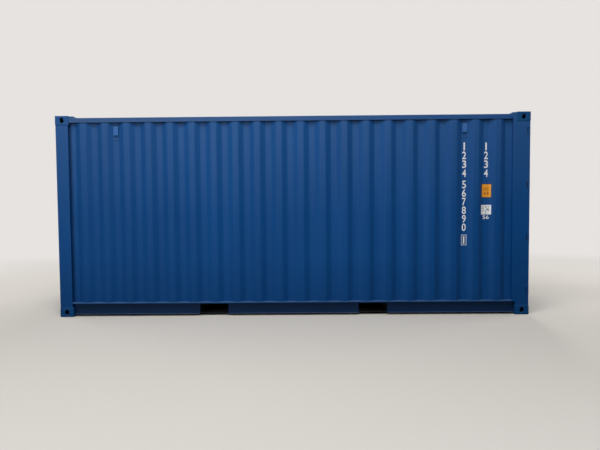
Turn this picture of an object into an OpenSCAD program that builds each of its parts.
// Dry-freight shipping container, 20 ft long and 8 ft 6 in high, in millimetres.
// X runs along the length, with the doors at +X. Left is -Y, as seen by someone who faces the doors.
// Z = 0 is the ground under the corner castings, and the origin is at the middle of the base.

/* [Overall] */
// Length over the corner castings
overall_l = 6058; // [5000:1:9000]
// Width over the corner castings
overall_w = 2438; // [2300:1:2600]
// Height over the corner castings
overall_h = 2591; // [2400:1:2900]

/* [Corner castings] */
// Length of a casting along the side
casting_l = 178; // [170:1:190]
// Width of a casting across the end
casting_w = 162; // [150:1:175]
// Height of a casting
casting_h = 118; // [110:1:130]
// Wall around the hollow of a casting
casting_wall = 16; // [10:1:22]
// Thickness of the plate that holds the slot
casting_plate = 28; // [18:1:32]
// Length of the slot in the top and bottom faces
slot_l = 124.5; // [110:0.5:128]
// Width of that slot
slot_w = 63.5; // [55:0.5:68]
// Slot centre from the end of the container
slot_from_end = 102.5; // [98:0.5:106]
// Slot centre from the side of the container
slot_from_side = 89.5; // [80:0.5:95]
// Width of the upright holes in the side and end faces
eye_w = 51; // [40:1:60]
// Height of those holes
eye_h = 70; // [60:1:84]
// Side hole centre from the end of the container
eye_from_end = 90; // [80:1:105]
// End hole centre from the side of the container
eye_from_side = 89; // [75:1:95]

/* [Corner posts] */
// Plate thickness of the posts
post_t = 6; // [4:0.5:9]
// Setback of the post faces behind the casting faces
post_setback = 4.5; // [3:0.5:6]
// Width of a front post on the side of the container
front_post_l = 158.5; // [130:0.5:165]
// Width of a front post on the end of the container
front_post_w = 97.5; // [80:0.5:140]
// Width of a door post on the side of the container
rear_post_l = 215.5; // [205:0.5:240]
// Wall of the channel that the doors close against
jamb_t = 12; // [8:1:16]
// Distance from the side of the container to the clear door opening
jamb_inset = 50; // [46:1:60]

/* [Side sheets] */
// Thickness of a side sheet
sheet_t = 1.6; // [1.2:0.1:3]
// Distance from one rib of a side sheet to the next
rib_pitch = 278.8; // [240:0.1:320]
// Width of the outer flat of a rib
rib_flat = 72; // [50:1:100]
// Width of the slope beside a rib
rib_slope = 68; // [30:1:70]
// Depth of the ribs over both faces of the sheet
rib_depth = 36; // [20:1:38]
// Least flat between the last rib and a post
rib_edge = 80; // [40:1:120]
// Setback of the outer flats behind the casting faces
sheet_setback = 9; // [7:0.5:12]

/* [Front sheet] */
// Thickness of the front sheet
front_sheet_t = 2; // [1.6:0.1:3]
// Distance from one rib of the front sheet to the next
front_rib_pitch = 250; // [200:1:300]
// Width of the outer flat of a front rib
front_rib_flat = 110; // [60:1:120]
// Width of the slope beside a front rib
front_rib_slope = 18; // [10:1:40]
// Depth of the front ribs over both faces of the sheet
front_rib_depth = 45.6; // [30:0.1:46]
// Least flat between the last front rib and a post
front_rib_edge = 40; // [20:1:80]
// Setback of the front sheet behind the casting faces
front_setback = 12; // [10:1:14]

/* [Rails and sills] */
// Height of the underside of the base frame above the ground
base_z = 26; // [20:1:30]
// Height of the top of the bottom rails, which is also the floor level
rail_top = 186; // [180:1:190]
// Wall of the bottom rails and the front sill
rail_t = 4.5; // [3:0.5:6]
// Height of the nose along the edge of the top flange of a bottom rail
rail_nose = 15; // [10:1:20]
// Width of the top flange of a bottom rail
rail_flange = 48; // [46:1:60]
// Width of the bottom lip of a bottom rail
rail_lip = 30; // [20:1:40]
// Setback of the rails behind the casting faces
rail_setback = 7; // [6:0.5:8]
// Side of the square tube of a top rail
top_rail_side = 60; // [56:1:80]
// Wall of the top rails
top_rail_t = 3; // [2:0.5:5]
// Drop from the top of the castings to the top of the top rails
top_rail_drop = 29; // [24:1:34]
// Wall of the front header
header_t = 4; // [3:0.5:6]
// Plate thickness of the door sill and the door header
sill_t = 6; // [4:0.5:8]
// Height of the top of the door sill
sill_top = 152; // [146:1:156]
// Height of the door header over its full box
header_h = 121; // [118:1:140]
// Depth of the lip below the door header that the gaskets face
header_lip = 18; // [12:1:24]
// Gap between the door face plane and the sill and header faces
sill_gap = 5; // [5:0.5:8]

/* [Roof] */
// Thickness of the roof sheet
roof_t = 2; // [1.5:0.1:3]
// Distance from one trough of the roof to the next
roof_pitch = 209; // [180:1:250]
// Width of the floor of a trough
roof_flat = 91; // [60:1:110]
// Width of the slope beside a trough
roof_slope = 14; // [10:1:30]
// Depth of a trough
roof_depth = 20; // [12:1:26]
// Distance from the side of the container to the end of a trough
roof_side = 100; // [90:1:140]
// Plain margin at each end of the roof sheet
roof_margin = 80; // [80:1:120]
// Setback of the roof sheet's long edges
roof_setback = 15; // [12:1:20]
// Length of the roof sheet that lies on the headers, between the castings
roof_lap = 20; // [10:1:40]
// Length of a corner plate along the roof
corner_plate_l = 55; // [45:1:78]
// Width of a corner plate across the roof
corner_plate_w = 300; // [200:1:400]
// Thickness of a corner plate
corner_plate_t = 4; // [2:0.5:6]
// Drop from the top of the castings to the top of a corner plate
corner_plate_drop = 7; // [5:0.5:12]
// Setback of the corner plates behind the casting faces
corner_plate_setback = 8; // [7.5:0.5:9]

/* [Floor] */
// Thickness of the plywood floor
floor_t = 28; // [21:1:30]
// Number of plywood sheets along the floor
floor_rows = 5; // [3:1:8]
// Joint between plywood sheets
floor_joint = 3; // [1:0.5:5]
// Distance from one cross member to the next
cross_pitch = 279; // [240:1:320]
// Height of a cross member
cross_h = 122; // [110:1:124]
// Flange of a cross member
cross_flange = 45; // [35:1:60]
// Wall of a cross member
cross_t = 4; // [3:0.5:5]

/* [Fork pockets] */
// Distance between the centres of the two fork pockets
pocket_pitch = 2066; // [1600:1:2150]
// Clear width of a fork pocket
pocket_w = 370; // [300:1:400]
// Clear height of a fork pocket
pocket_h = 115; // [100:1:116]
// Length of the plate below a pocket at each side
pocket_plate_l = 200; // [120:1:300]
// Thickness of the plates of a pocket
pocket_t = 4; // [3:0.5:6]

/* [Vents] */
// Width of a vent hood
vent_w = 58; // [50:1:68]
// Height of a vent hood
vent_h = 115; // [90:1:150]
// Distance from the top of the container to the top of a hood
vent_drop = 135; // [110:1:200]
// Plate thickness of a hood
vent_t = 2; // [1:0.5:3]
// Distance from the top of a hood to the top of the room inside it
vent_top = 8; // [4:1:12]
// Setback of the front of a hood behind the casting faces
vent_setback = 24; // [12:0.5:30]
// Fall of the top of a hood from the sheet to its front
vent_fall = 14; // [4:1:30]
// Drop from the mouth of a hood to the lip below it
vent_lip_drop = 58; // [30:1:70]
// Height of that lip
vent_lip_h = 8; // [3:1:12]
// Projection of that lip from the sheet
vent_lip_d = 7; // [3:1:12]

/* [Doors] */
// Setback of the door faces behind the casting faces
door_setback = 62; // [62:1:70]
// Thickness of a door frame
door_t = 50; // [40:1:52]
// Gap from the inner face of a door to the post, sill and header behind it
door_back_gap = 6; // [5:0.5:8]
// Distance from the side of the container to the hinge edge of a door
door_edge = 30; // [28:1:34]
// Distance from the middle of the container to the free edge of a door
door_middle = 14; // [12:0.5:18]
// Gap above and below a door
door_gap = 12; // [10:0.5:14]
// Width of the members of a door frame
door_member = 100; // [80:1:120]
// Wall of the members of a door frame
door_member_t = 4; // [2.5:0.5:6]
// Thickness of a door sheet
door_sheet_t = 2; // [1.6:0.1:3]
// Distance from one rib of a door sheet to the next
door_rib_pitch = 410; // [380:1:460]
// Width of the outer flat of a door rib
door_rib_flat = 250; // [180:1:260]
// Width of the slope beside a door rib
door_rib_slope = 60; // [30:1:62]
// Depth of the door ribs over both faces of the sheet
door_rib_depth = 36; // [20:1:45]
// Least flat between the last door rib and the frame
door_rib_edge = 20; // [10:1:25]
// Thickness of the gasket outside the edge of a door
gasket_lip = 6; // [4:0.5:7]
// Width of the gasket along the edge of a door
gasket_w = 18; // [12:1:30]

/* [Hinges] */
// Hinges on each door
hinge_count = 4; // [2:1:5]
// Height of the lowest hinge
hinge_first = 309; // [290:1:340]
// Distance from the top of the container to the highest hinge
hinge_last_drop = 241; // [220:1:280]
// Distance of the pin from the side and end planes
pin_inset = 12.5; // [12.5:0.5:14]
// Radius of a hinge pin
pin_r = 7; // [6:0.5:8]
// Radial clearance of a pin in its knuckle
pin_clearance = 0.05; // [0.02:0.01:0.08]
// Outer radius of a knuckle
knuckle_r = 11; // [10:0.5:12]
// Height of a knuckle
knuckle_h = 80; // [60:1:90]
// Play above and below a knuckle
knuckle_play = 1; // [0.5:0.5:2]
// Thickness of a hinge lug
lug_t = 12; // [8:1:16]
// Depth of the hinge recess in the post from the end of the container
recess_depth = 45; // [42:1:50]
// Thickness of a hinge blade
blade_t = 10; // [6:1:12]
// Length of a hinge blade on the door
blade_l = 120; // [80:1:160]
// Thickness of the arm between a knuckle and its blade
arm_t = 16; // [12:1:18]

/* [Lock bars] */
// Diameter of a lock bar
bar_d = 32; // [26:1:33]
// Wall of a lock bar
bar_t = 3; // [2:0.5:5]
// Distance from the door face to the middle of a lock bar
bar_standoff = 19; // [17:0.5:19]
// Distance from the middle of the container to the inner lock bar
bar_inner = 215; // [180:1:300]
// Distance from the middle of the container to the outer lock bar
bar_outer = 800; // [700:1:860]
// Drop of a lock bar's end below the top of the sill, and rise into the header
bar_reach = 56; // [40:1:70]
// Height of a cam
cam_h = 28; // [16:1:40]
// Width of a cam
cam_w = 38; // [34:1:44]
// Gap between a cam and the lugs of its keeper
cam_gap = 8; // [6:0.5:12]
// Thickness of a keeper lug
keeper_t = 10; // [6:1:14]
// Height of a keeper
keeper_h = 60; // [40:1:64]
// Distance from the end of the container to the tip of a keeper lug
keeper_tip = 30; // [24:1:40]
// Thickness of a keeper's base
keeper_base = 6; // [4:0.5:8]
// Length of a handle
handle_l = 430; // [300:1:450]
// Height of a handle's bar
handle_h = 34; // [20:1:40]
// Thickness of a handle's bar
handle_t = 12; // [8:1:14]
// Height of a handle's hub
hub_h = 60; // [40:1:70]
// Outer diameter of a handle's hub
hub_d = 34; // [34:1:36]
// Height of a handle above or below the middle of its rib
handle_shift = 60; // [50:1:80]
// Width of a bar bracket
bracket_w = 60; // [44:1:80]
// Height of a bar bracket
bracket_h = 50; // [30:1:70]
// Gap between a bar and its bracket
bracket_gap = 0.3; // [0.2:0.1:1]
// Width of a handle catch
catch_w = 70; // [40:1:90]
// Thickness of the plates of a catch
catch_t = 5; // [3:0.5:8]

/* [Hidden] */

$fn = 48;
FRONT = -1;
REAR = 1;
LEFT = -1;
RIGHT = 1;
paint = [0.11, 0.28, 0.47];
bright_paint = [0.16, 0.36, 0.58];
galvanised = [0.62, 0.64, 0.66];
rubber = [0.08, 0.08, 0.09];
plywood = [0.55, 0.38, 0.22];
// Overshoot of cutting shapes past the face that they cut
cut = 1;

// Planes between the bottom castings and the top castings
top_castings_z = overall_h - casting_h;
// Inner face of a side sheet and of the front sheet, from the casting faces
side_inner = sheet_setback + rib_depth;
front_inner = front_setback + front_rib_depth;
// Inner face of the posts' plates, and the nose of the bottom rails, which ends flush with it
post_face = post_setback + post_t;
nose_t = post_face - rail_setback;
// Far edges of the posts along the side, from the ends of the container
front_post_end = post_setback + front_post_l;
rear_post_end = post_setback + rear_post_l;
// Span of the side sheets along X
sheet_x0 = -overall_l / 2 + front_post_end;
sheet_x1 = overall_l / 2 - rear_post_end;
// Bottom rail web, top rail and roof levels
rail_inner = rail_setback + rail_flange;
top_rail_z1 = overall_h - top_rail_drop;
top_rail_z0 = top_rail_z1 - top_rail_side;
top_rail_inner = rail_setback + top_rail_side;
nose_z0 = rail_top - rail_nose;
// Door openings and leaves, in distances from the end and side planes
header_z0 = top_rail_z1 - header_h;
sill_face = door_setback + sill_gap;
seat = door_setback + door_t + door_back_gap;
door_v1 = overall_w / 2 - door_middle;
door_z0 = sill_top + door_gap;
door_z1 = header_z0 - door_gap;
door_back = door_setback + door_t;
panel_v0 = door_edge + door_member;
panel_v1 = door_v1 - door_member;
panel_z0 = door_z0 + door_member;
panel_z1 = door_z1 - door_member;
// Floor levels, and the top of the fork pockets
floor_z0 = rail_top - floor_t;
cross_z0 = floor_z0 - cross_h;
tunnel_top = cross_z0 + pocket_h;
// Hinge places
hinge_last = overall_h - hinge_last_drop;
hinge_step = (hinge_last - hinge_first) / (hinge_count - 1);
hinge_zs = [for (i = [0 : hinge_count - 1]) hinge_first + i * hinge_step];
recess_h = knuckle_h + 2 * knuckle_play + 2 * lug_t;
// Lock bar places, in distances from the side plane
bar_vs = [overall_w / 2 - bar_outer, overall_w / 2 - bar_inner];
bar_u = door_setback - bar_standoff;
bar_z0 = sill_top - bar_reach;
bar_z1 = header_z0 + bar_reach;

// How many ribs fit in a span, and where the first one is centred
function rib_fit(span, pitch, flat, slope, edge) = floor((span - flat - 2 * slope - 2 * edge) / pitch) + 1;
function rib_centres(a, b, pitch, flat, slope, edge) =
    let (n = rib_fit(b - a, pitch, flat, slope, edge), first = (a + b - (n - 1) * pitch) / 2)
    [for (i = [0 : n - 1]) first + i * pitch];

// One face of a ribbed sheet from a to b: ribs reach the height out, the rest lies at the height in
function rib_line(a, b, centres, flat, slope, out, in) =
    let (top = flat / 2, foot = flat / 2 + slope)
    concat(
        [[a, in]],
        [for (c = centres, p = [[-foot, in], [-top, out], [top, out], [foot, in]]) [c + p[0], p[1]]],
        [[b, in]]);

// Closed outline of a ribbed sheet with thickness t; its outermost face is at out
function ribbed(a, b, centres, flat, slope, out, depth, t) =
    let (face = rib_line(a, b, centres, flat, slope, out, out + depth - t), n = len(face))
    concat(face, [for (i = [n - 1 : -1 : 0]) face[i] + [0, t]]);
function swapped(points) = [for (p = points) [p[1], p[0]]];

side_ribs = rib_centres(sheet_x0, sheet_x1, rib_pitch, rib_flat, rib_slope, rib_edge);
front_rib_y = overall_w / 2 - post_setback - front_post_w;
front_ribs =
    rib_centres(-front_rib_y, front_rib_y, front_rib_pitch, front_rib_flat, front_rib_slope, front_rib_edge);
door_ribs = rib_centres(panel_z0, panel_z1, door_rib_pitch, door_rib_flat, door_rib_slope, door_rib_edge);
roof_x = overall_l / 2 - casting_l;
roof_troughs = rib_centres(-roof_x, roof_x, roof_pitch, roof_flat, roof_slope, roof_margin);
// Vents sit on the second inner flat from the front and the third from the doors
vent_xs = [side_ribs[1] + rib_pitch / 2, side_ribs[len(side_ribs) - 3] + rib_pitch / 2];

// Children are drawn with X inwards from the end and Y inwards from the side
module at_corner(end, side) {
    translate([end * overall_l / 2, side * overall_w / 2, 0])
        mirror([end > 0 ? 1 : 0, 0, 0])
            mirror([0, side > 0 ? 1 : 0, 0])
                children();
}

// Children are drawn with Y inwards from the side
module at_side(side) {
    translate([0, side * overall_w / 2, 0]) mirror([0, side > 0 ? 1 : 0, 0]) children();
}

// Children are drawn with X inwards from the end
module at_end(end) {
    translate([end * overall_l / 2, 0, 0]) mirror([end > 0 ? 1 : 0, 0, 0]) children();
}

// A block given by its two opposite corners
module block(low, high) {
    translate(low) cube(high - low);
}

// A rectangle given by its two opposite corners
module patch(low, high) {
    translate(low) square(high - low);
}

// Extrudes an outline drawn in Y and Z along X from x0 to x1
module along_x(x0, x1) {
    translate([x0, 0, 0]) rotate([90, 0, 90]) linear_extrude(x1 - x0) children();
}

// Extrudes an outline drawn in X and Z along Y from y0 to y1
module along_y(y0, y1) {
    translate([0, y1, 0]) rotate([90, 0, 0]) linear_extrude(y1 - y0) children();
}

// Extrudes an outline drawn in X and Y upwards from z0 to z1
module along_z(z0, z1) {
    translate([0, 0, z0]) linear_extrude(z1 - z0) children();
}

// The room that the four castings at one end take up, for cutting long pieces to length
module casting_room(end) {
    for (side = [LEFT, RIGHT], span = [[-cut, casting_h], [top_castings_z, overall_h + cut]])
        at_corner(end, side) block([-cut, -cut, span[0]], [casting_l, casting_w, span[1]]);
}

// Upright hole with round ends, through the thickness depth along Y
module eye_cut(depth) {
    straight = (eye_h - eye_w) / 2;
    for (z = [-straight, straight])
        translate([0, 0, z]) rotate([-90, 0, 0]) cylinder(h = depth, d = eye_w);
    translate([-eye_w / 2, 0, -straight]) cube([eye_w, depth, 2 * straight]);
}

// Casting with its slot in the plate at Z = 0
module casting() {
    straight = (slot_l - slot_w) / 2;
    difference() {
        cube([casting_l, casting_w, casting_h]);
        block([casting_wall, casting_wall, casting_plate],
            [casting_l - casting_wall, casting_w - casting_wall, casting_h - casting_wall]);
        translate([slot_from_end, slot_from_side, -cut]) {
            for (x = [-straight, straight])
                translate([x, 0, 0]) cylinder(h = casting_plate + 2 * cut, d = slot_w);
            translate([-straight, -slot_w / 2, 0]) cube([2 * straight, slot_w, casting_plate + 2 * cut]);
        }
        translate([eye_from_end, -cut, casting_h / 2]) eye_cut(casting_wall + 2 * cut);
        translate([-cut, eye_from_side, casting_h / 2])
            rotate([0, 0, -90]) eye_cut(casting_wall + 2 * cut);
    }
}

module corner_casting(end, side, top) {
    color(paint) at_corner(end, side)
        translate([0, 0, top ? overall_h : 0]) mirror([0, 0, top ? 1 : 0]) casting();
}

// Front post: side face, end face and the two returns that the sheets butt against
module front_post(side) {
    front_v = post_setback + front_post_w;
    color(paint) at_corner(FRONT, side) along_z(casting_h, top_castings_z) {
        patch([post_setback, post_setback], [front_post_end, post_face]);
        patch([post_setback, post_setback], [post_face, front_v]);
        patch([front_post_end - post_t, post_setback], [front_post_end, side_inner]);
        patch([post_setback, front_v - post_t], [front_inner, front_v]);
    }
}

// Section of a door post: side plate with its return, and the channel behind the door
module rear_post_section() {
    channel_end = rear_post_end - post_t;
    patch([post_setback, post_setback], [rear_post_end, post_face]);
    patch([channel_end, post_setback], [rear_post_end, side_inner]);
    difference() {
        patch([seat, post_face], [channel_end, jamb_inset]);
        patch([seat + jamb_t, post_face], [channel_end - jamb_t, jamb_inset - jamb_t]);
    }
}

// The bottom rail runs below the wide part; only the side plate laps over the nose of the rail
module rear_post(side) {
    channel_end = rear_post_end - post_t;
    ear_step = top_rail_z0 - post_t;
    color(paint) at_corner(REAR, side) {
        difference() {
            along_z(casting_h, top_castings_z) rear_post_section();
            block([casting_l, post_face, casting_h - cut], [rear_post_end + cut, jamb_inset + cut, rail_top]);
            block([casting_l, 0, casting_h - cut], [rear_post_end + cut, post_face + cut, nose_z0]);
            for (z = hinge_zs)
                block([0, 0, z - recess_h / 2], [recess_depth, post_face + cut, z + recess_h / 2]);
        }
        // The ear beside the top casting, which closes the end of the top rail
        block([casting_l, post_setback, top_castings_z], [rear_post_end, post_face, top_rail_z1]);
        block([channel_end, post_setback, top_castings_z], [rear_post_end, side_inner, ear_step]);
        block([channel_end, post_setback, ear_step], [rear_post_end, top_rail_inner, top_rail_z1]);
    }
}

// Channel that opens outwards, drawn with the distance from the face first and the height second:
// its head is the web above foot_z with the top flange and the nose
module rail_head(setback, flange, foot_z) {
    inner = setback + flange;
    patch([inner - rail_t, foot_z], [inner, rail_top]);
    patch([setback, rail_top - rail_t], [inner, rail_top]);
    patch([setback, nose_z0], [setback + nose_t, rail_top]);
}

// Its foot is the web below head_z with the bottom lip
module rail_foot(setback, flange, head_z) {
    inner = setback + flange;
    patch([inner - rail_t, base_z], [inner, head_z]);
    patch([inner - rail_lip, base_z], [inner, base_z + rail_t]);
}

// Head of a bottom rail, which runs on over the fork pockets
module bottom_rail(side) {
    color(paint) difference() {
        at_side(side)
            along_x(sheet_x0, overall_l / 2 - casting_l) rail_head(rail_setback, rail_flange, tunnel_top);
        at_corner(REAR, side)
            block([casting_l - cut, 0, nose_z0 - cut], [rear_post_end, post_face, rail_top + cut]);
    }
}

// Feet of both bottom rails, in the three lengths that the fork pockets leave
module bottom_rail_webs() {
    near = (pocket_pitch - pocket_w) / 2;
    far = (pocket_pitch + pocket_w) / 2;
    lengths = [[sheet_x0, -far], [-near, near], [far, overall_l / 2 - casting_l]];
    color(paint) for (side = [LEFT, RIGHT], xs = lengths) difference() {
        at_side(side) along_x(xs[0], xs[1]) rail_foot(rail_setback, rail_flange, tunnel_top);
        casting_room(FRONT);
    }
}

module top_rail(side) {
    t = top_rail_t;
    color(paint) at_side(side) along_x(-overall_l / 2 + casting_l, sheet_x1) difference() {
        patch([rail_setback, top_rail_z0], [top_rail_inner, top_rail_z1]);
        patch([rail_setback + t, top_rail_z0 + t], [top_rail_inner - t, top_rail_z1 - t]);
    }
}

// Half the width of the room between the front posts and between the door posts
front_half = overall_w / 2 - post_setback - front_post_w;
door_half = overall_w / 2 - jamb_inset;
castings_half = overall_w / 2 - casting_w;

module front_sill() {
    front_flange = front_inner - front_setback;
    color(paint) difference() {
        at_end(FRONT) along_y(-front_half, front_half) {
            rail_head(front_setback, front_flange, base_z);
            rail_foot(front_setback, front_flange, rail_top);
        }
        casting_room(FRONT);
    }
}

// Box above the front sheet, with a plate back to the roof sheet
module front_header() {
    color(paint) at_end(FRONT) along_y(-castings_half, castings_half) {
        difference() {
            patch([front_setback - header_t, top_castings_z], [front_inner + header_t, top_rail_z1]);
            patch([front_setback, top_castings_z + header_t], [front_inner, top_rail_z1 - header_t]);
        }
        patch([front_inner, top_rail_z1 - header_t], [casting_l, top_rail_z1]);
    }
}

// Sill with a face behind the lock bars, a step under the doors and a raised threshold
module door_sill() {
    color(paint) difference() {
        at_end(REAR) along_y(-door_half, door_half) {
            patch([sill_face, base_z], [sill_face + sill_t, sill_top]);
            patch([sill_face, base_z], [seat, base_z + sill_t]);
            patch([sill_face, sill_top - sill_t], [seat + sill_t, sill_top]);
            patch([seat, sill_top - sill_t], [seat + sill_t, rail_top]);
            patch([seat, rail_top - sill_t], [casting_l, rail_top]);
            patch([casting_l - sill_t, cross_z0], [casting_l, rail_top]);
        }
        casting_room(REAR);
    }
}

// Box over the doors, with a lip that their gaskets face
module door_header() {
    color(paint) difference() {
        at_end(REAR) along_y(-door_half, door_half) {
            difference() {
                patch([sill_face, header_z0], [casting_l, top_rail_z1]);
                patch([sill_face + sill_t, header_z0 + sill_t], [casting_l - sill_t, top_rail_z1 - sill_t]);
            }
            patch([seat, header_z0 - header_lip], [seat + sill_t, header_z0]);
        }
        casting_room(REAR);
    }
}

module side_wall(side) {
    color(paint) difference() {
        at_side(side) along_z(rail_top, top_rail_z0)
            polygon(ribbed(sheet_x0, sheet_x1, side_ribs, rib_flat, rib_slope,
                sheet_setback, rib_depth, sheet_t));
        casting_room(FRONT);
    }
}

module front_wall() {
    color(paint) at_end(FRONT) along_z(rail_top, top_castings_z)
        polygon(swapped(ribbed(-front_half, front_half, front_ribs, front_rib_flat, front_rib_slope,
            front_setback, front_rib_depth, front_sheet_t)));
}

// Outlines of all troughs, grown by g: across them, and along them
module trough_outlines(g) {
    z = top_rail_z1 + roof_t;
    for (x = roof_troughs)
        polygon([
            [x - roof_flat / 2 - roof_slope - g, z + cut], [x - roof_flat / 2 - roof_slope - g, z],
            [x - roof_flat / 2 - g, z - roof_depth - g], [x + roof_flat / 2 + g, z - roof_depth - g],
            [x + roof_flat / 2 + roof_slope + g, z], [x + roof_flat / 2 + roof_slope + g, z + cut]]);
}

module trough_length(g) {
    z = top_rail_z1 + roof_t;
    half = overall_w / 2 - roof_side;
    polygon([
        [-half - g, z + cut], [-half - g, z], [-half + roof_slope - g, z - roof_depth - g],
        [half - roof_slope + g, z - roof_depth - g], [half + g, z], [half + g, z + cut]]);
}

module troughs(g) {
    intersection() {
        along_y(-overall_w / 2, overall_w / 2) trough_outlines(g);
        along_x(-overall_l / 2, overall_l / 2) trough_length(g);
    }
}

// Stamped sheet: a flat plate on the top rails with troughs across it
module roof_panel() {
    half = overall_w / 2 - roof_setback;
    lap_x = roof_x + roof_lap;
    color(paint) difference() {
        union() {
            block([-roof_x, -half, top_rail_z1], [roof_x, half, top_rail_z1 + roof_t]);
            block([-lap_x, -castings_half, top_rail_z1], [lap_x, castings_half, top_rail_z1 + roof_t]);
            intersection() {
                troughs(roof_t);
                block([-roof_x, -half, 0], [roof_x, half, top_rail_z1 + roof_t]);
            }
        }
        troughs(0);
    }
}

// Raised plate beside a top casting, on three legs: the outer one stands on the top rail
module roof_corner_plates() {
    t = corner_plate_t;
    roof_z = top_rail_z1 + roof_t;
    top_z = overall_h - corner_plate_drop;
    u1 = casting_l + corner_plate_l;
    v0 = corner_plate_setback;
    v1 = v0 + corner_plate_w;
    color(paint) for (end = [FRONT, REAR], side = [LEFT, RIGHT])
        at_corner(end, side) {
            block([casting_l, v0, top_z - t], [u1, v1, top_z]);
            block([casting_l, v0, top_rail_z1], [u1, v0 + t, top_z]);
            block([casting_l, v1 - t, roof_z], [u1, v1, top_z]);
            block([u1 - t, roof_setback, roof_z], [u1, v1, top_z]);
        }
}

// Section of a cross member: web at X = 0, flanges towards +X
module channel_section() {
    patch([0, cross_z0], [cross_t, floor_z0]);
    for (z = [cross_z0, floor_z0 - cross_t]) patch([0, z], [cross_flange, z + cross_t]);
}

rails_half = overall_w / 2 - rail_inner;
cross_span = overall_l - 2 * casting_l - cross_pitch / 2;
cross_count = floor(cross_span / cross_pitch) + 1;
pocket_reach = pocket_w / 2 + cross_flange + cross_t;
cross_xs = [for (i = [0 : cross_count - 1])
    let (x = (i - (cross_count - 1) / 2) * cross_pitch)
    if (abs(abs(x) - pocket_pitch / 2) > pocket_reach + cross_flange) x];

module floor_cross_members() {
    color(paint) for (x = cross_xs)
        translate([x - cross_flange / 2, 0, 0]) along_y(-rails_half, rails_half) channel_section();
}

// Two channels with their backs to each tunnel
module fork_pockets() {
    color(paint) for (x = [-pocket_pitch / 2, pocket_pitch / 2], way = [0, 1])
        translate([x, 0, 0]) mirror([way, 0, 0]) translate([pocket_w / 2, 0, 0])
            along_y(-rails_half, rails_half) channel_section();
}

// A plate over each tunnel and short plates under its mouths
module fork_pocket_plates() {
    half = pocket_w / 2;
    color(paint) for (x = [-pocket_pitch / 2, pocket_pitch / 2]) translate([x, 0, 0]) {
        block([-half, -rails_half, tunnel_top], [half, rails_half, tunnel_top + pocket_t]);
        for (way = [0, 1]) mirror([0, way, 0])
            block([-half - cross_flange, rails_half - pocket_plate_l, cross_z0 - pocket_t],
                [half + cross_flange, rails_half, cross_z0]);
    }
}

// Plywood sheets in two files, between the front sheet and the door threshold
module floor_boards() {
    x0 = -overall_l / 2 + front_inner + floor_joint;
    x1 = overall_l / 2 - casting_l;
    row = (x1 - x0 + floor_joint) / floor_rows;
    half = rails_half - floor_joint;
    color(plywood) for (i = [0 : floor_rows - 1], way = [0, 1])
        translate([x0 + i * row, 0, 0]) mirror([0, way, 0])
            block([0, floor_joint / 2, floor_z0], [row - floor_joint, half, rail_top]);
}

// Hood that is open at the bottom, with a small lip on the sheet below it
module vent() {
    z1 = overall_h - vent_drop;
    z0 = z1 - vent_h;
    back = side_inner - sheet_t;
    lip_z = z0 - vent_lip_drop;
    difference() {
        along_x(-vent_w / 2, vent_w / 2)
            polygon([[back, z1], [vent_setback, z1 - vent_fall], [vent_setback, z0], [back, z0]]);
        along_x(-vent_w / 2 + vent_t, vent_w / 2 - vent_t)
            polygon([[back + cut, z1 - vent_top], [back, z1 - vent_top],
                [vent_setback + vent_t, z1 - vent_fall - vent_top], [vent_setback + vent_t, z0 - cut],
                [back + cut, z0 - cut]]);
    }
    block([-vent_w / 2, back - vent_lip_d, lip_z], [vent_w / 2, back, lip_z + vent_lip_h]);
}

module side_vents() {
    color(bright_paint) for (side = [LEFT, RIGHT], x = vent_xs) at_side(side) translate([x, 0, 0]) vent();
}

// Fixed lugs above and below each knuckle, with the pin between them
module hinge_lugs() {
    color(paint) for (side = [LEFT, RIGHT], z = hinge_zs) at_corner(REAR, side) {
        for (way = [-1, 1]) {
            near = z + way * (knuckle_h / 2 + knuckle_play);
            low = way > 0 ? near : near - lug_t;
            translate([pin_inset, pin_inset, low]) cylinder(h = lug_t, r = knuckle_r);
            block([pin_inset, post_setback, low], [recess_depth, pin_inset + knuckle_r, low + lug_t]);
        }
        translate([pin_inset, pin_inset, z - recess_h / 2]) cylinder(h = recess_h, r = pin_r);
    }
}

// Base with two lugs, one on each side of a cam, on the sill or the header
module keeper(v, z) {
    inner = cam_w / 2 + cam_gap;
    outer = inner + keeper_t;
    base = sill_face - keeper_base;
    block([base, v - outer, z - keeper_h / 2], [sill_face, v + outer, z + keeper_h / 2]);
    for (way = [0, 1])
        translate([0, v, 0]) mirror([0, way, 0])
            block([keeper_tip, inner, z - keeper_h / 2], [base, outer, z + keeper_h / 2]);
}

module cam_keepers() {
    color(paint) for (side = [LEFT, RIGHT], v = bar_vs, z = [bar_z0 + cam_h / 2, bar_z1 - cam_h / 2])
        at_corner(REAR, side) keeper(v, z);
}

// Hollow frame of a door; the tubes drain at the foot
module door_frame(side) {
    t = door_member_t;
    u0 = door_setback + t;
    u1 = door_back - t;
    color(paint) at_corner(REAR, side) difference() {
        block([door_setback, door_edge, door_z0], [door_back, door_v1, door_z1]);
        block([door_setback - cut, panel_v0, panel_z0], [door_back + cut, panel_v1, panel_z1]);
        for (v = [door_edge, panel_v1])
            block([u0, v + t, door_z0 - cut], [u1, v + door_member - t, door_z1 - t]);
        for (z = [door_z0, panel_z1])
            block([u0, door_edge + t, z + t], [u1, door_v1 - t, z + door_member - t]);
    }
}

module door_panel(side) {
    color(paint) at_corner(REAR, side) along_y(panel_v0, panel_v1)
        polygon(swapped(ribbed(panel_z0, panel_z1, door_ribs, door_rib_flat, door_rib_slope,
            door_setback, door_rib_depth, door_sheet_t)));
}

// Rubber band around the edge of a door, at its inner face
module door_gasket(side) {
    color(rubber) at_corner(REAR, side) difference() {
        block([door_back - gasket_w, door_edge - gasket_lip, door_z0 - gasket_lip],
            [door_back, door_v1 + gasket_lip, door_z1 + gasket_lip]);
        block([door_back - gasket_w - cut, door_edge, door_z0], [door_back + cut, door_v1, door_z1]);
    }
}

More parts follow.
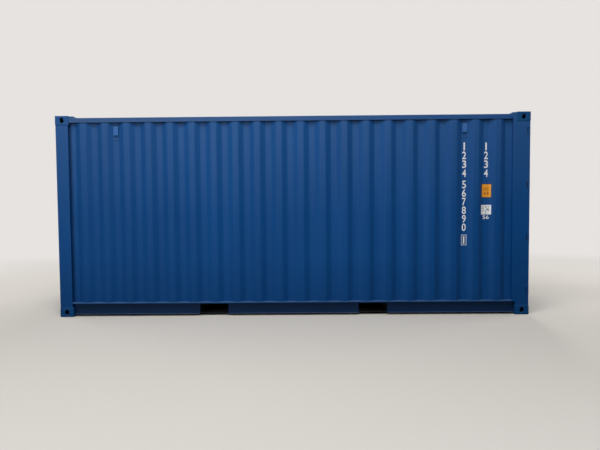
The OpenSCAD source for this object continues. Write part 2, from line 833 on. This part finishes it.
// Knuckle, arm and blade of each hinge on a door
module door_hinges(side) {
    arm = [door_setback - pin_inset, door_edge + knuckle_r - pin_inset];
    across = [-arm[1], arm[0]] * arm_t / 2 / norm(arm);
    pin = [pin_inset, pin_inset];
    color(paint) at_corner(REAR, side) for (z = hinge_zs) difference() {
        along_z(z - knuckle_h / 2, z + knuckle_h / 2) {
            translate(pin) circle(r = knuckle_r);
            polygon([pin + across, pin - across, [door_setback, door_edge],
                [door_setback, door_edge + blade_t], [door_setback - blade_t, door_edge + 2 * blade_t]]);
            patch([door_setback - blade_t, door_edge + blade_t], [door_setback, door_edge + blade_l]);
        }
        translate([pin_inset, pin_inset, z - knuckle_h / 2 - cut])
            cylinder(h = knuckle_h + 2 * cut, r = pin_r + pin_clearance);
    }
}

// Heights of the handles of the outer and inner bars, on the second and third ribs
handle_zs = [door_ribs[1] + handle_shift, door_ribs[2] - handle_shift];
handle_u = bar_u - handle_t / 2;
bracket_zs =
    [door_z0 + door_member / 2, door_ribs[1] - handle_shift, door_ribs[3], door_z1 - door_member / 2];

// Bars with their cams and handles; the outer handle points to the middle, the inner one to the hinges
module door_lock_bars(side) {
    color(galvanised) at_corner(REAR, side) for (i = [0, 1]) {
        v = bar_vs[i];
        way = i == 0 ? 0 : 1;
        difference() {
            union() {
                translate([bar_u, v, bar_z0]) cylinder(h = bar_z1 - bar_z0, d = bar_d);
                for (z = [bar_z0, bar_z1 - cam_h])
                    translate([bar_u - bar_d / 2, v - cam_w / 2, z]) cube([bar_d, cam_w, cam_h]);
                translate([bar_u, v, handle_zs[i] - hub_h / 2]) cylinder(h = hub_h, d = hub_d);
                translate([handle_u, v, handle_zs[i] - handle_h / 2]) mirror([0, way, 0])
                    cube([handle_t, handle_l, handle_h]);
            }
            translate([bar_u, v, bar_z0 - cut])
                cylinder(h = bar_z1 - bar_z0 + 2 * cut, d = bar_d - 2 * bar_t);
        }
    }
}

// Saddle that a bar turns in
module bar_bracket(v, z) {
    u = bar_u - catch_t;
    z0 = z - bracket_h / 2;
    difference() {
        translate([u, v - bracket_w / 2, z0]) cube([door_setback - u, bracket_w, bracket_h]);
        translate([bar_u, v, z0 - cut]) cylinder(h = bracket_h + 2 * cut, d = bar_d + 2 * bracket_gap);
    }
}

// Plate with two shelves, one below and one above the end of a handle
module handle_catch(v, z) {
    half = handle_h / 2 + bracket_gap;
    plate_h = 2 * (half + catch_t);
    translate([door_setback - catch_t, v - catch_w / 2, z - plate_h / 2]) cube([catch_t, catch_w, plate_h]);
    for (way = [0, 1])
        translate([handle_u, v - catch_w / 2, z]) mirror([0, 0, way])
            block([0, 0, half], [door_setback - catch_t - handle_u, catch_w, half + catch_t]);
}

module door_fittings(side) {
    color(galvanised) at_corner(REAR, side) for (i = [0, 1]) {
        v = bar_vs[i];
        for (z = bracket_zs) bar_bracket(v, z);
        handle_catch(v + (i == 0 ? 1 : -1) * (handle_l - catch_w), handle_zs[i]);
    }
}

corner_casting(FRONT, LEFT, false);  // casting_front_left_bottom
corner_casting(FRONT, LEFT, true);  // casting_front_left_top
corner_casting(FRONT, RIGHT, false);  // casting_front_right_bottom
corner_casting(FRONT, RIGHT, true);  // casting_front_right_top
corner_casting(REAR, LEFT, false);  // casting_rear_left_bottom
corner_casting(REAR, LEFT, true);  // casting_rear_left_top
corner_casting(REAR, RIGHT, false);  // casting_rear_right_bottom
corner_casting(REAR, RIGHT, true);  // casting_rear_right_top
front_post(LEFT);  // front_post_left
front_post(RIGHT);  // front_post_right
rear_post(LEFT);  // rear_post_left
rear_post(RIGHT);  // rear_post_right
front_sill();
front_header();
door_sill();
door_header();
bottom_rail(LEFT);  // bottom_rail_left
bottom_rail(RIGHT);  // bottom_rail_right
bottom_rail_webs();
top_rail(LEFT);  // top_rail_left
top_rail(RIGHT);  // top_rail_right
side_wall(LEFT);  // side_wall_left
side_wall(RIGHT);  // side_wall_right
front_wall();
roof_panel();
roof_corner_plates();
floor_cross_members();
fork_pockets();
fork_pocket_plates();
floor_boards();
side_vents();
hinge_lugs();
cam_keepers();
door_frame(LEFT);  // left_door_frame
door_panel(LEFT);  // left_door_panel
door_gasket(LEFT);  // left_door_gasket
door_hinges(LEFT);  // left_door_hinges
door_lock_bars(LEFT);  // left_door_lock_bars
door_fittings(LEFT);  // left_door_fittings
door_frame(RIGHT);  // right_door_frame
door_panel(RIGHT);  // right_door_panel
door_gasket(RIGHT);  // right_door_gasket
door_hinges(RIGHT);  // right_door_hinges
door_lock_bars(RIGHT);  // right_door_lock_bars
door_fittings(RIGHT);  // right_door_fittings
